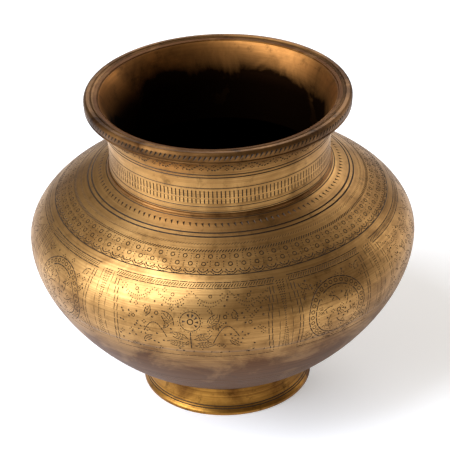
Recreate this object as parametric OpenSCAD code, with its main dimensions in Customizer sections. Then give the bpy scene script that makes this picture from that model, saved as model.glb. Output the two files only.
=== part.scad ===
// Engraved brass lota: a squat, round water pot with a spool neck, a banded rim
// and a flared foot. It is cast and raised as separate pieces, which are turned
// and brazed together, so every piece here is its own ring or shell about +Z.
// The origin is at the middle of the foot's resting face.

/* [Foot] */
// Radius of the foot at its resting edge
foot_r = 38.6; // [34:0.2:42]
// Radius of the foot at its waist, just under the bowl
waist_r = 35.2; // [31:0.2:38]
// Wall of the foot ring
foot_wall = 3; // [2:0.1:4]

/* [Body] */
// Radius of the belly at its widest
belly_r = 86; // [70:1:104]
// Height of the widest line of the belly
belly_z = 77; // [64:1:92]
// Radius of the bowl where it leaves the foot
bowl_r = 36.6; // [32:0.2:39]
// Height of the bowl where it leaves the foot
bowl_z = 15.4; // [13:0.2:18]
// Depth of the bowl's rounded bottom below that line
bowl_sag = 4; // [2:0.5:6]
// Height of the shoulder where it meets the neck
shoulder_z = 110.5; // [96:0.5:120]
// Wall of the bowl and the shoulder
wall = 1.8; // [1.2:0.1:2.6]
// Length that the bowl's tongue stands up inside the shoulder
lap = 5; // [3:0.5:8]

/* [Neck] */
// Outside radius of the collar where it enters the shoulder
neck_r = 49; // [42:0.5:52]
// Wall of the collar
neck_wall = 2.4; // [1.8:0.1:3]
// Length of the straight throat inside the collar
throat_len = 14; // [10:1:18]
// Length of collar that stands down inside the shoulder
neck_tail = 3; // [2:0.5:5]

/* [Rim] */
// Height of the rim above the shoulder
rim_rise = 34.5; // [28:0.1:40]
// Outside radius of the rim band
rim_r = 58.4; // [55:0.2:64]
// Height of the rim band
rim_h = 5.4; // [4.5:0.1:7]
// Radial width of the rim band
rim_w = 4.2; // [3:0.2:5]
// Width of the flat crest that a lid rests on
crest_w = 1.2; // [1:0.1:2]

/* [Turned lines] */
// Radius of the inner of the two lines turned round the shoulder
line_r = 56.2; // [54:0.2:60]
// Distance along the surface between paired lines
line_gap = 2; // [1.8:0.1:3.2]
// Depth of a turned line
line_d = 0.4; // [0.2:0.05:0.6]

// Depth below the rim band of the upper of the two lines turned round the neck
neck_line = 7.6; // [5:0.2:10]

/* [Brazing] */
// Leg of the brazed fillets in the corners
fillet = 1.5; // [1:0.1:2]
// Half the width of the brazed line round the belly
braze_w = 0.5; // [0.3:0.05:0.7]

/* [Hidden] */
$fn = 96;
STEPS = 20;                  // straight pieces in each half of the body's outline
NECK_STEPS = 10;             // straight pieces in the neck's outline
SEAM = 0.82;                 // how far up the bowl's outline the brazed belly line is
EDGE = 0.5;                  // small bevels and rounds on turned edges
throat_r = neck_r - neck_wall;
lip_r = rim_r - rim_w;       // edge of the collar's mouth, inside the rim band
rim_z = shoulder_z + rim_rise;
band_z = rim_z - rim_h;      // underside of the rim band
lip_drop = 1.1;              // fall of the mouth's lip from its edge to its inner line
lip_w = 2.2;                 // width of that lip

// A point of the cubic curve from a to d that b and c pull on.
function cubic(a, b, c, d, t) =
    pow(1 - t, 3) * a + 3 * pow(1 - t, 2) * t * b + 3 * (1 - t) * t * t * c + pow(t, 3) * d;

// n equal steps from a to b.
function steps(a, b, n) = [for (i = [0:n]) a + (b - a) * i / n];

// The list back to front.
function reversed(list) = [for (i = [len(list) - 1:-1:0]) list[i]];

// Outside of the body at u: 0 at the foot, 1 at the belly, 2 at the neck.
function body(u) = u <= 1
    ? cubic([bowl_r, bowl_z],
            [bowl_r + 0.39 * (belly_r - bowl_r), bowl_z + 0.1 * (belly_z - bowl_z)],
            [belly_r, belly_z - 0.39 * (belly_z - bowl_z)], [belly_r, belly_z], u)
    : cubic([belly_r, belly_z], [belly_r, belly_z + 0.36 * (shoulder_z - belly_z)],
            [neck_r + 0.61 * (belly_r - neck_r), shoulder_z - 0.31 * (shoulder_z - belly_z)],
            [neck_r, shoulder_z], u - 1);

// The body's outline at u, moved a depth d into the metal.
function inside(u, d) =
    let (e = 0.001, a = body(max(u - e, 0)), b = body(min(u + e, 2)), run = b - a)
    body(u) + d * [-run[1], run[0]] / norm(run);

// How far along the body's outline a distance s from u is.
function further(u, s) = u + s * 0.001 / norm(body(u + 0.001) - body(u));

// Where on the shoulder's outline the radius is r, found by halving.
function shoulder_at(r, low = 1, high = 2, n = 24) =
    let (mid = (low + high) / 2)
    n == 0 ? mid
    : body(mid)[0] > r ? shoulder_at(r, mid, high, n - 1) : shoulder_at(r, low, mid, n - 1);

// Outside of the neck: t is 0 at the shoulder and 1 under the rim band.
function neck(t) = cubic([neck_r, shoulder_z], [neck_r - 0.8, shoulder_z + 0.45 * (band_z - shoulder_z)],
    [neck_r + 0.6, band_z - 0.25 * (band_z - shoulder_z)], [lip_r, band_z + EDGE], t);

// The places along the outline where the bowl's and the shoulder's outsides have points.
function bowl_steps() = steps(0, further(SEAM, -braze_w), STEPS);
function shoulder_steps() = concat(steps(further(SEAM, braze_w), 1, 3), steps(1.03, 2, STEPS));

// Everything inside the body's outside surface, which cuts what is seated on it.
module body_core() {
    polygon(concat([[0, shoulder_z], [0, bowl_z - bowl_sag]], bottom_curve(0),
        [for (u = concat(bowl_steps(), shoulder_steps())) body(u)]));
}

// The bowl's bottom, from its middle out, a depth d inside the metal.
function bottom_curve(d) = [for (t = steps(0.05, 0.95, 5))
    [bowl_r * t, bowl_z - bowl_sag * (1 - t * t) + d]];

// A V-shaped tool of depth line_d set on a surface at a point.
module line_tool(at) {
    translate(at) rotate(45) square(line_d * sqrt(2), center = true);
}

// Section of the foot ring, before the bowl is cut from it.
module foot_section() {
    polygon(concat(
        [[foot_r - foot_wall, 0], [foot_r - EDGE, 0], [foot_r, EDGE], [foot_r, 3 * EDGE]],
        [for (t = steps(0.15, 1, 7)) cubic([foot_r, 3 * EDGE], [waist_r + 1.6, 4],
            [waist_r, 0.5 * bowl_z], [waist_r + 0.6, bowl_z], t)],
        [[waist_r + 0.6, bowl_z + 1], [waist_r - foot_wall, bowl_z + 1],
         [waist_r - foot_wall, 0.4 * bowl_z]]));
}

// Flared ring that the pot stands on, brazed under the bowl.
module foot_ring() {
    color("goldenrod") rotate_extrude() difference() {
        foot_section();
        body_core();
    }
}

// Brazing in the corner between foot and bowl.
module foot_braze() {
    corner = [waist_r + 0.6, bowl_z - 0.4];
    color("darkgoldenrod") rotate_extrude() difference() {
        polygon([corner + [-1, 1], corner + [-1, -fillet], corner + [-0.2, -fillet],
                 corner + [0.2, -0.4], corner + [fillet + 0.6, 0.35], corner + [fillet, 1]]);
        foot_section();
        body_core();
    }
}

// Lower half of the body, with its bottom and the tongue that laps the shoulder.
module bowl_shell() {
    low = SEAM;
    high = further(SEAM, lap);
    outer = [for (u = bowl_steps()) body(u)];
    inner = [for (u = steps(high, 0, STEPS)) inside(u, wall)];
    color("peru") rotate_extrude() polygon(concat(
        [[0, bowl_z - bowl_sag]], bottom_curve(0), outer,
        [inside(low, wall / 2), inside((low + high) / 2, wall / 2), inside(high, wall / 2)],
        inner, reversed(bottom_curve(wall)), [[0, bowl_z - bowl_sag + wall]]));
}

// Brazing metal that shows as a fine line round the belly.
module belly_braze() {
    color("darkgoldenrod") rotate_extrude() polygon([
        body(further(SEAM, -braze_w)), body(further(SEAM, braze_w)), inside(SEAM, wall / 2)]);
}

// Upper half of the body, with the two lines turned round it.
module shoulder_shell() {
    low = SEAM;
    high = further(SEAM, lap);
    line_u = shoulder_at(line_r);
    outer = [for (u = shoulder_steps()) body(u)];
    inner = [for (u = concat(steps(1.96, 1.03, STEPS), steps(1, high, 2))) inside(u, wall)];
    color("goldenrod") rotate_extrude() difference() {
        polygon(concat(outer, [[neck_r, shoulder_z - wall * 1.25]], inner,
            [inside(high, wall / 2), inside((low + high) / 2, wall / 2), inside(low, wall / 2)]));
        line_tool(body(line_u));
        line_tool(body(further(line_u, -line_gap)));
    }
}

// Brazed bead round the foot of the neck, and the fillet inside it.
module neck_braze() {
    color("darkgoldenrod") rotate_extrude() {
        difference() {
            translate([neck_r, shoulder_z]) circle(r = fillet * 0.6, $fn = 24);
            polygon([[0, 0], [neck_r, 0], [neck_r, rim_z], [0, rim_z]]);
            body_core();
        }
    }
}

// Where on the neck's outline the height is z, found by halving.
function neck_at(z, low = 0, high = 1, n = 24) =
    let (mid = (low + high) / 2)
    n == 0 ? mid
    : neck(mid)[1] < z ? neck_at(z, mid, high, n - 1) : neck_at(z, low, mid, n - 1);

// Spool-shaped neck with its flared mouth and the lip inside the rim band.
module neck_collar() {
    throat_z = shoulder_z + neck_tail - 1;
    mouth = [lip_r - lip_w, rim_z - lip_drop];
    upper_z = band_z - neck_line;
    color("gold") rotate_extrude() difference() {
        polygon(concat(
            [[throat_r, shoulder_z - neck_tail], [neck_r, shoulder_z - neck_tail]],
            [for (t = steps(0, 1, NECK_STEPS)) neck(t)],
            [[lip_r, rim_z - EDGE], mouth],
            [for (t = steps(0.1, 1, NECK_STEPS)) cubic(mouth,
                mouth - [2.2, 2.4], [throat_r, throat_z + throat_len + 5],
                [throat_r, throat_z + throat_len], t)]));
        line_tool(mouth + [0.2, 0.1]);
        line_tool(neck(neck_at(upper_z)));
        line_tool(neck(neck_at(upper_z - 4 * line_d)));
    }
}

// Everything inside the neck's outside surface, which cuts the rim's brazing.
module neck_core() {
    polygon(concat([[0, shoulder_z]], [for (t = steps(0, 1, NECK_STEPS)) neck(t)],
        [[lip_r, rim_z], [0, rim_z]]));
}

// Brazing under the rim band, in its corner with the flare of the neck.
module rim_braze() {
    low = neck(0.93);
    color("darkgoldenrod") rotate_extrude() difference() {
        polygon([low, [lip_r + fillet, band_z], [lip_r, band_z], [lip_r, rim_z - rim_h / 2],
                 low + [-2, 0]]);
        neck_core();
    }
}

// Band brazed round the mouth, with a bead along its lower edge and a flat crest.
module rim_band() {
    bead = 0.55;
    bead_z = band_z + bead;
    color("goldenrod") rotate_extrude() difference() {
        union() {
            polygon([[lip_r, band_z], [rim_r - bead, band_z], [rim_r - bead, bead_z + 0.4],
                     [rim_r, bead_z + 0.9], [rim_r + 0.2, rim_z - 1.4], [rim_r - 0.3, rim_z - 0.5],
                     [rim_r - 1, rim_z], [rim_r - 1 - crest_w, rim_z], [lip_r, rim_z - EDGE]]);
            translate([rim_r - bead, bead_z]) circle(r = bead, $fn = 24);
        }
        line_tool([rim_r - 1.8 - crest_w, rim_z - 0.1]);
    }
}

foot_ring();
foot_braze();
bowl_shell();
belly_braze();
shoulder_shell();
neck_braze();
neck_collar();
rim_braze();
rim_band();
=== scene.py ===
"""Engraved brass lota, a squat round water pot, dressed over its CAD frame.

Each class below is one formed piece of the pot, or one set of tools and finishes
that the pieces share. Lengths are metres and angles radians unless a name says so.
"""

import logging
import math
import random
from dataclasses import dataclass, field
from enum import Enum
from itertools import product
from typing import Callable, Iterable

import bpy
import numpy as np
from mathutils import Matrix, Quaternion, Vector


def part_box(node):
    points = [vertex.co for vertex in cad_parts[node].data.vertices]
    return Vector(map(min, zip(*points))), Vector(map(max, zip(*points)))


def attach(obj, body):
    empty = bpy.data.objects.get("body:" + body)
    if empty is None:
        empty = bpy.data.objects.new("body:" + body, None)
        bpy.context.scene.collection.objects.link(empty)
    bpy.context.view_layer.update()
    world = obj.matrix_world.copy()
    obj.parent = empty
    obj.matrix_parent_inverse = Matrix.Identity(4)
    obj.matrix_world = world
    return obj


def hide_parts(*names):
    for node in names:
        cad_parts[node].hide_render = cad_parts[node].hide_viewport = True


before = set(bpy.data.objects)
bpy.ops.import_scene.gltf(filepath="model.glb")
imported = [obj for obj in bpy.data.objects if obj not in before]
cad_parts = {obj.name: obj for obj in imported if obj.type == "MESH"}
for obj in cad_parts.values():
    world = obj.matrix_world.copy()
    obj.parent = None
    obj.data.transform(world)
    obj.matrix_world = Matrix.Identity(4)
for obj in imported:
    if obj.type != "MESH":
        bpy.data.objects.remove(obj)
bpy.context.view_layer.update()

MM = 0.001
TAU = 2 * math.pi
SEGMENTS = 216  # facets round every turned piece
TARNISH_FROM = 0.1 * MM  # turned lines deeper than this hold tarnish

log = logging.getLogger("lota")

Point = tuple[float, float]


def linear(code: str) -> tuple[float, float, float, float]:
    """Turns a display colour into the linear one that shaders take.

    Args:
        code: Colour as "#rrggbb".

    Returns:
        Linear red, green, blue and an alpha of one.
    """
    values = [int(code[i : i + 2], 16) / 255 for i in (1, 3, 5)]
    lit = [v / 12.92 if v <= 0.04045 else ((v + 0.055) / 1.055) ** 2.4 for v in values]
    return (lit[0], lit[1], lit[2], 1.0)


def add_node(
    tree: bpy.types.NodeTree, kind: str, links: dict | None = None, **settings: object
) -> bpy.types.Node:
    """Adds one node, sets it up and links its inputs.

    Args:
        tree: Node tree that the node goes into.
        kind: Blender's type name of the node.
        links: Input name or index to an output socket, or to a plain value.
        settings: Properties of the node itself.

    Returns:
        The new node.
    """
    made = tree.nodes.new(kind)
    for name, value in settings.items():
        setattr(made, name, value)
    for name, value in (links or {}).items():
        if isinstance(value, bpy.types.NodeSocket):
            tree.links.new(value, made.inputs[name])
        else:
            made.inputs[name].default_value = value
    return made


def fetch(items: bpy.types.bpy_prop_collection, key: str, width: int = 1, kind: type = float) -> np.ndarray:
    """Copies one property of every item of a mesh into an array.

    Args:
        items: Vertices, faces or face corners.
        key: The property.
        width: Numbers in each item.
        kind: Type of the numbers.

    Returns:
        One row for each item, or one number where the width is one.
    """
    values = np.zeros(len(items) * width, kind)
    items.foreach_get(key, values)
    return values.reshape(-1, width) if width > 1 else values


# --------------------------------------------------------------------------
# Outlines


def cubic(a: Point, b: Point, c: Point, d: Point, t: float) -> Point:
    """A point of the cubic curve from a to d that b and c pull on.

    Args:
        a, b, c, d: Control points as (radius, height).
        t: Place along the curve, 0 to 1.

    Returns:
        The point.
    """
    k = ((1 - t) ** 3, 3 * (1 - t) ** 2 * t, 3 * (1 - t) * t * t, t**3)
    return (
        k[0] * a[0] + k[1] * b[0] + k[2] * c[0] + k[3] * d[0],
        k[0] * a[1] + k[1] * b[1] + k[2] * c[1] + k[3] * d[1],
    )


class Curve:
    """A dense outline with its length along it, from its first point to its last."""

    def __init__(self, points: Iterable[Point]) -> None:
        """Measures the outline.

        Args:
            points: (radius, height) in order, with the metal to the left.
        """
        self.points = np.array(list(points))
        steps = np.linalg.norm(np.diff(self.points, axis=0), axis=1)
        self.lengths = np.concatenate([[0], np.cumsum(steps)])

    @property
    def length(self) -> float:
        """Length of the whole outline."""
        return float(self.lengths[-1])

    def at(self, s: float) -> Point:
        """The point a length s along the outline."""
        return (
            float(np.interp(s, self.lengths, self.points[:, 0])),
            float(np.interp(s, self.lengths, self.points[:, 1])),
        )

    def along(self, s: float) -> Point:
        """Finds which way the outline runs.

        Args:
            s: Length along it.

        Returns:
            The unit direction of travel.
        """
        e = 0.2 * MM
        a, b = self.at(max(s - e, 0)), self.at(min(s + e, self.length))
        run = math.hypot(b[0] - a[0], b[1] - a[1])
        return ((b[0] - a[0]) / run, (b[1] - a[1]) / run)

    def below(self, s: float, depth: float) -> Point:
        """The point at s, moved a depth into the metal."""
        (r, z), (dr, dz) = self.at(s), self.along(s)
        return (r - dz * depth, z + dr * depth)

    def at_height(self, z: float) -> float:
        """The length along a rising outline at which its height is z."""
        return float(np.interp(z, self.points[:, 1], self.lengths))


@dataclass(frozen=True)
class PotForm:
    """The sizes that every piece's outline follows."""

    belly_r: float
    rim_z: float
    shoulder_z: float
    foot_r: float
    rim_r: float
    neck_r: float = 49 * MM
    belly_z: float = 77 * MM
    waist_r: float = 35.2 * MM
    foot_wall: float = 3 * MM
    bowl_r: float = 36.6 * MM
    bowl_z: float = 15.4 * MM
    bowl_sag: float = 4 * MM
    wall: float = 1.8 * MM
    lap: float = 5 * MM
    neck_wall: float = 2.4 * MM
    neck_tail: float = 3 * MM
    throat_len: float = 14 * MM
    rim_w: float = 4.2 * MM
    rim_h: float = 5.4 * MM
    seam: float = 0.82  # how far up the bowl's outline the brazed belly line is
    braze: float = 0.5 * MM  # half the width of that line
    # How far the control points of the body's outline pull, as shares of its width and height.
    foot_pull: Point = (0.39, 0.1)
    under_belly: float = 0.39
    over_belly: float = 0.36
    neck_pull: Point = (0.61, 0.31)

    @classmethod
    def from_frame(cls) -> "PotForm":
        """Reads the overall sizes from the CAD nodes' boxes.

        Returns:
            The form of this pot.
        """
        collar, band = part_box("neck_collar"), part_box("rim_band")
        return cls(
            belly_r=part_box("shoulder_shell")[1][0],
            rim_z=band[1][2],
            shoulder_z=collar[0][2] + cls.neck_tail,
            foot_r=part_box("foot_ring")[1][0],
            rim_r=band[1][0] - 0.2 * MM,
        )

    @property
    def lip_r(self) -> float:
        """Edge of the collar's mouth, inside the rim band."""
        return self.rim_r - self.rim_w

    @property
    def band_z(self) -> float:
        """Underside of the rim band."""
        return self.rim_z - self.rim_h

    def body(self, u: float) -> Point:
        """Finds a point on the outside of the body.

        Args:
            u: 0 at the foot, 1 at the belly and 2 at the neck.

        Returns:
            The point.
        """
        up = self.belly_z - self.bowl_z
        over = self.shoulder_z - self.belly_z
        belly = (self.belly_r, self.belly_z)
        if u <= 1:
            out, rise = self.foot_pull
            return cubic(
                (self.bowl_r, self.bowl_z),
                (self.bowl_r + out * (self.belly_r - self.bowl_r), self.bowl_z + rise * up),
                (self.belly_r, self.belly_z - self.under_belly * up),
                belly,
                u,
            )
        out, fall = self.neck_pull
        return cubic(
            belly,
            (self.belly_r, self.belly_z + self.over_belly * over),
            (self.neck_r + out * (self.belly_r - self.neck_r), self.shoulder_z - fall * over),
            (self.neck_r, self.shoulder_z),
            u - 1,
        )

    def body_curve(self) -> Curve:
        """The whole outside of the body, from the foot up to the neck."""
        return Curve(self.body(2 * i / 600) for i in range(601))

    def neck_curve(self) -> Curve:
        """Draws the outside of the neck.

        Returns:
            Its outline, from the shoulder up to the rim band.
        """
        rise = self.band_z - self.shoulder_z
        ends = (
            (self.neck_r, self.shoulder_z),
            (self.neck_r - 0.8 * MM, self.shoulder_z + 0.45 * rise),
            (self.neck_r + 0.6 * MM, self.band_z - 0.25 * rise),
            (self.lip_r, self.band_z + 0.5 * MM),
        )
        return Curve(cubic(*ends, i / 200) for i in range(201))


@dataclass
class Section:
    """A piece's outline as it is built up: points, and which of them are sharp."""

    points: list[Point] = field(default_factory=list)
    sharp: list[bool] = field(default_factory=list)
    inside_from: int | None = None
    lined: list[int] = field(default_factory=list)

    def add(self, *points: Point, sharp: bool = False) -> "Section":
        """Adds points.

        Args:
            points: (radius, height) in order.
            sharp: Whether the surface has an edge there.

        Returns:
            This section.
        """
        self.points += points
        self.sharp += [sharp] * len(points)
        return self

    def turn_inside(self) -> "Section":
        """Marks the rest of the outline as the inside of the pot.

        Returns:
            This section.
        """
        self.inside_from = len(self.points)
        return self

    def run(
        self, curve: Curve, start: float, end: float, pitch: float, lines: Iterable["Line"] = ()
    ) -> "Section":
        """Follows a curve, and cuts turned lines into it.

        Args:
            curve: Outline to follow.
            start, end: Lengths along it.
            pitch: Distance between points.
            lines: Lines turned into the surface on the way.

        Returns:
            This section.
        """
        inside = [line for line in lines if start < line.at - line.width and line.at + line.width < end]
        here = start
        for cut in [*sorted(inside, key=lambda line: line.at), None]:
            stop = end if cut is None else cut.at - cut.width / 2
            count = max(1, round((stop - here) / pitch))
            for i in range(0 if here == start else 1, count + 1):
                self.add(curve.at(here + (stop - here) * i / count), sharp=i == count)
            if cut is not None:
                if cut.depth > TARNISH_FROM:
                    self.lined += [len(self.points) - 1, len(self.points)]
                self.add(curve.below(cut.at, cut.depth), sharp=True)
                here = cut.at + cut.width / 2
                self.add(curve.at(here), sharp=True)
        return self


@dataclass(frozen=True)
class Line:
    """One line turned into a surface with a pointed tool."""

    at: float
    width: float
    depth: float


@dataclass
class Turned:
    """A turned solid: its outline, and the normals each stretch of it has."""

    BATCH = 4000  # faces that are matched to the outline at a time

    section: Section

    def __post_init__(self) -> None:
        """Works out the normals at both ends of each stretch of the outline."""
        pts = np.array(self.section.points)
        closed = pts[0, 0] > 1e-7 or pts[-1, 0] > 1e-7
        self.ring = np.vstack([pts, pts[:1]]) if closed else pts
        run = np.diff(self.ring, axis=0)
        flat = np.stack([run[:, 1], -run[:, 0]], axis=1)
        flat /= np.linalg.norm(flat, axis=1)[:, None]
        n = len(flat)
        sharp = list(self.section.sharp) + [self.section.sharp[0]]
        self.starts, self.ends = flat.copy(), flat.copy()
        for i in range(n):
            before = (i - 1) % n if closed else i - 1
            after = (i + 1) % n if closed else i + 1
            if not sharp[i] and before >= 0:
                self.starts[i] = flat[i] + flat[before]
            if not sharp[i + 1] and after < n:
                self.ends[i] = flat[i] + flat[after]
        for ends in (self.starts, self.ends):
            ends /= np.linalg.norm(ends, axis=1)[:, None]
        if not closed:
            self.starts[0] = (0, math.copysign(1, flat[0][1]))
            self.ends[-1] = (0, math.copysign(1, flat[-1][1]))
        self.closed = closed

    def build(self, name: str) -> bpy.types.Object:
        """Revolves the outline into a closed mesh with its faces outward.

        Args:
            name: Name of the piece.

        Returns:
            The new object, at the origin.
        """
        pts = self.section.points
        angle = [TAU * i / SEGMENTS for i in range(SEGMENTS)]
        verts: list[tuple[float, float, float]] = []
        rows: list[list[int]] = []
        for r, z in pts:
            if r < 1e-7:
                rows.append([len(verts)] * SEGMENTS)
                verts.append((0, 0, z))
            else:
                rows.append(list(range(len(verts), len(verts) + SEGMENTS)))
                verts += [(r * math.cos(a), r * math.sin(a), z) for a in angle]
        faces = []
        pairs = list(zip(rows, rows[1:] + rows[:1])) if self.closed else list(zip(rows, rows[1:]))
        for low, high in pairs:
            for i in range(SEGMENTS):
                j = (i + 1) % SEGMENTS
                corners = [low[i], low[j], high[j], high[i]]
                unique = list(dict.fromkeys(corners))
                if len(unique) > 2:
                    faces.append(unique)
        mesh = bpy.data.meshes.new(name)
        mesh.from_pydata(verts, [], faces)
        piece = bpy.data.objects.new(name, mesh)
        bpy.context.scene.collection.objects.link(piece)
        return piece

    def nearest(self, flat: np.ndarray) -> np.ndarray:
        """Finds which stretch of the outline each point lies on.

        Args:
            flat: Points as (radius, height).

        Returns:
            The number of the stretch, for each point.
        """
        a, d = self.ring[:-1], np.diff(self.ring, axis=0)
        found = np.zeros(len(flat), int)
        for low in range(0, len(flat), self.BATCH):
            p = flat[low : low + self.BATCH]
            t = np.clip(((p[:, None] - a) * d).sum(2) / (d * d).sum(1), 0, 1)
            gap = np.linalg.norm(p[:, None] - (a + t[..., None] * d), axis=2)
            found[low : low + self.BATCH] = gap.argmin(1)
        return found

    def shade(self, piece: bpy.types.Object, cut_slot: int) -> None:
        """Gives the turned surface the normals of its outline, and finds the cuts in it.

        Args:
            piece: Object with the mesh, after any chasing.
            cut_slot: Material slot of faces that lie below the turned surface.
        """
        mesh = piece.data
        count = len(mesh.polygons)
        centre, normal = fetch(mesh.polygons, "center", 3), fetch(mesh.polygons, "normal", 3)
        flat = np.stack([np.hypot(centre[:, 0], centre[:, 1]), centre[:, 2]], axis=1)
        stretch = self.nearest(flat)
        # A face that leans away from its stretch of the outline is the side of a cut.
        a, d = self.ring[:-1], np.diff(self.ring, axis=0)
        out = np.stack([d[:, 1], -d[:, 0]], axis=1)[stretch]
        out /= np.linalg.norm(out, axis=1)[:, None]
        across = normal[:, 0] * centre[:, 0] + normal[:, 1] * centre[:, 1]
        tilt = out[:, 0] * across / np.maximum(flat[:, 0], 1e-9) + out[:, 1] * normal[:, 2]
        cut = (tilt < 0.985) & (flat[:, 0] > 2 * MM)
        # Every corner of the other faces takes the outline's own normal, turned to its side.
        face = np.repeat(np.arange(count), fetch(mesh.polygons, "loop_total", kind=int))
        p = fetch(mesh.vertices, "co", 3)[fetch(mesh.loops, "vertex_index", kind=int)]
        r = np.hypot(p[:, 0], p[:, 1])
        seg = stretch[face]
        t = ((np.stack([r, p[:, 2]], axis=1) - a[seg]) * d[seg]).sum(1) / (d[seg] ** 2).sum(1)
        t = t.clip(0, 1)[:, None]
        n2 = self.starts[seg] * (1 - t) + self.ends[seg] * t
        n2 /= np.linalg.norm(n2, axis=1)[:, None]
        safe = np.maximum(r, 1e-9)
        normals = np.stack([n2[:, 0] * p[:, 0] / safe, n2[:, 0] * p[:, 1] / safe, n2[:, 1]], axis=1)
        normals[cut[face]] = normal[face][cut[face]]
        slots = np.where(cut, cut_slot, 0)
        # Slot 2 is the inside, whose finish paints shade down the throat.
        if self.section.inside_from is not None:
            slots[~cut & (stretch >= self.section.inside_from - 1)] = 2
        slots[np.isin(stretch, self.section.lined)] = 1
        mesh.polygons.foreach_set("use_smooth", np.ones(count, bool))
        mesh.polygons.foreach_set("material_index", slots.astype(np.int32))
        mesh.normals_split_custom_set(normals.tolist())
        mesh.update()


# --------------------------------------------------------------------------
# Chasing


class Tool(Enum):
    """The punches and the liner that the pattern is cut with."""

    STROKE = 0
    WEDGE = 1
    DOT = 2
    RING = 3


@dataclass(frozen=True)
class Row:
    """A row of one mark right round a surface, in millimetres, its turn in degrees."""

    tool: Tool
    pitch: float
    long: float
    wide: float
    depth: float
    turn: float


@dataclass(frozen=True)
class ToolShape:
    """Proportions of a unit tool: one long, one wide and one deep below the surface."""

    lift: float = 0.25  # how far the tool stands above the surface
    keel: float = 0.36  # half length of its lower edge
    sides: int = 6  # facets round a dot or a ring
    groove: float = 0.09  # half width of a ring's groove
    end: float = 0.53  # half length of a liner's upper face
    heel: float = 0.16  # width of a wedge's thin end
    rise: float = 0.3  # depth of a wedge's thin end
    point: float = 0.22  # radius of a dot punch's tip

    def build(self, tool: Tool) -> bpy.types.Object:
        """Builds one tool as a closed mesh.

        Args:
            tool: Which tool.

        Returns:
            A hidden object that instances are made from.
        """
        top = self.lift
        wide = 0.5 * (1 + top)
        faces: list[list[int]]
        if tool in (Tool.STROKE, Tool.WEDGE):
            back, deep = (self.heel, self.rise) if tool is Tool.WEDGE else (1.0, 1.0)
            verts = [
                (-self.end, -wide * back, top), (self.end, -wide, top), (self.end, wide, top),
                (-self.end, wide * back, top), (-self.keel, 0, -deep), (self.keel, 0, -1),
            ]
            faces = [[0, 1, 2, 3], [1, 0, 4, 5], [3, 2, 5, 4], [0, 3, 4], [2, 1, 5]]
        elif tool is Tool.DOT:
            spin = [TAU * i / self.sides for i in range(self.sides)]
            verts = [(wide * math.cos(a), wide * math.sin(a), top) for a in spin]
            verts += [(self.point * math.cos(a), self.point * math.sin(a), -1.0) for a in spin]
            n = self.sides
            faces = [list(range(n)), list(range(2 * n - 1, n - 1, -1))]
            faces += [[i, n + i, n + (i + 1) % n, (i + 1) % n] for i in range(n)]
        else:
            n = self.sides + 4
            verts, faces = [], []
            mid, half = 0.5 - self.groove, self.groove * 1.3
            for i in range(n):
                c, s = math.cos(TAU * i / n), math.sin(TAU * i / n)
                for r, z in ((mid + half, top), (mid - half, top), (mid, -1.0)):
                    verts.append((r * c, r * s, z))
            for i in range(n):
                j = (i + 1) % n
                for k in range(3):
                    m = (k + 1) % 3
                    faces.append([3 * i + k, 3 * j + k, 3 * j + m, 3 * i + m])
        mesh = bpy.data.meshes.new(f"tool_{tool.name.lower()}")
        mesh.from_pydata(verts, [], faces)
        mesh.update()
        volume = sum(
            Vector(mesh.vertices[p.vertices[0]].co).dot(p.normal) * p.area for p in mesh.polygons
        )
        if volume < 0:
            mesh.flip_normals()
        made = bpy.data.objects.new(mesh.name, mesh)
        bpy.context.scene.collection.objects.link(made)
        made.hide_render = True
        return made


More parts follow.
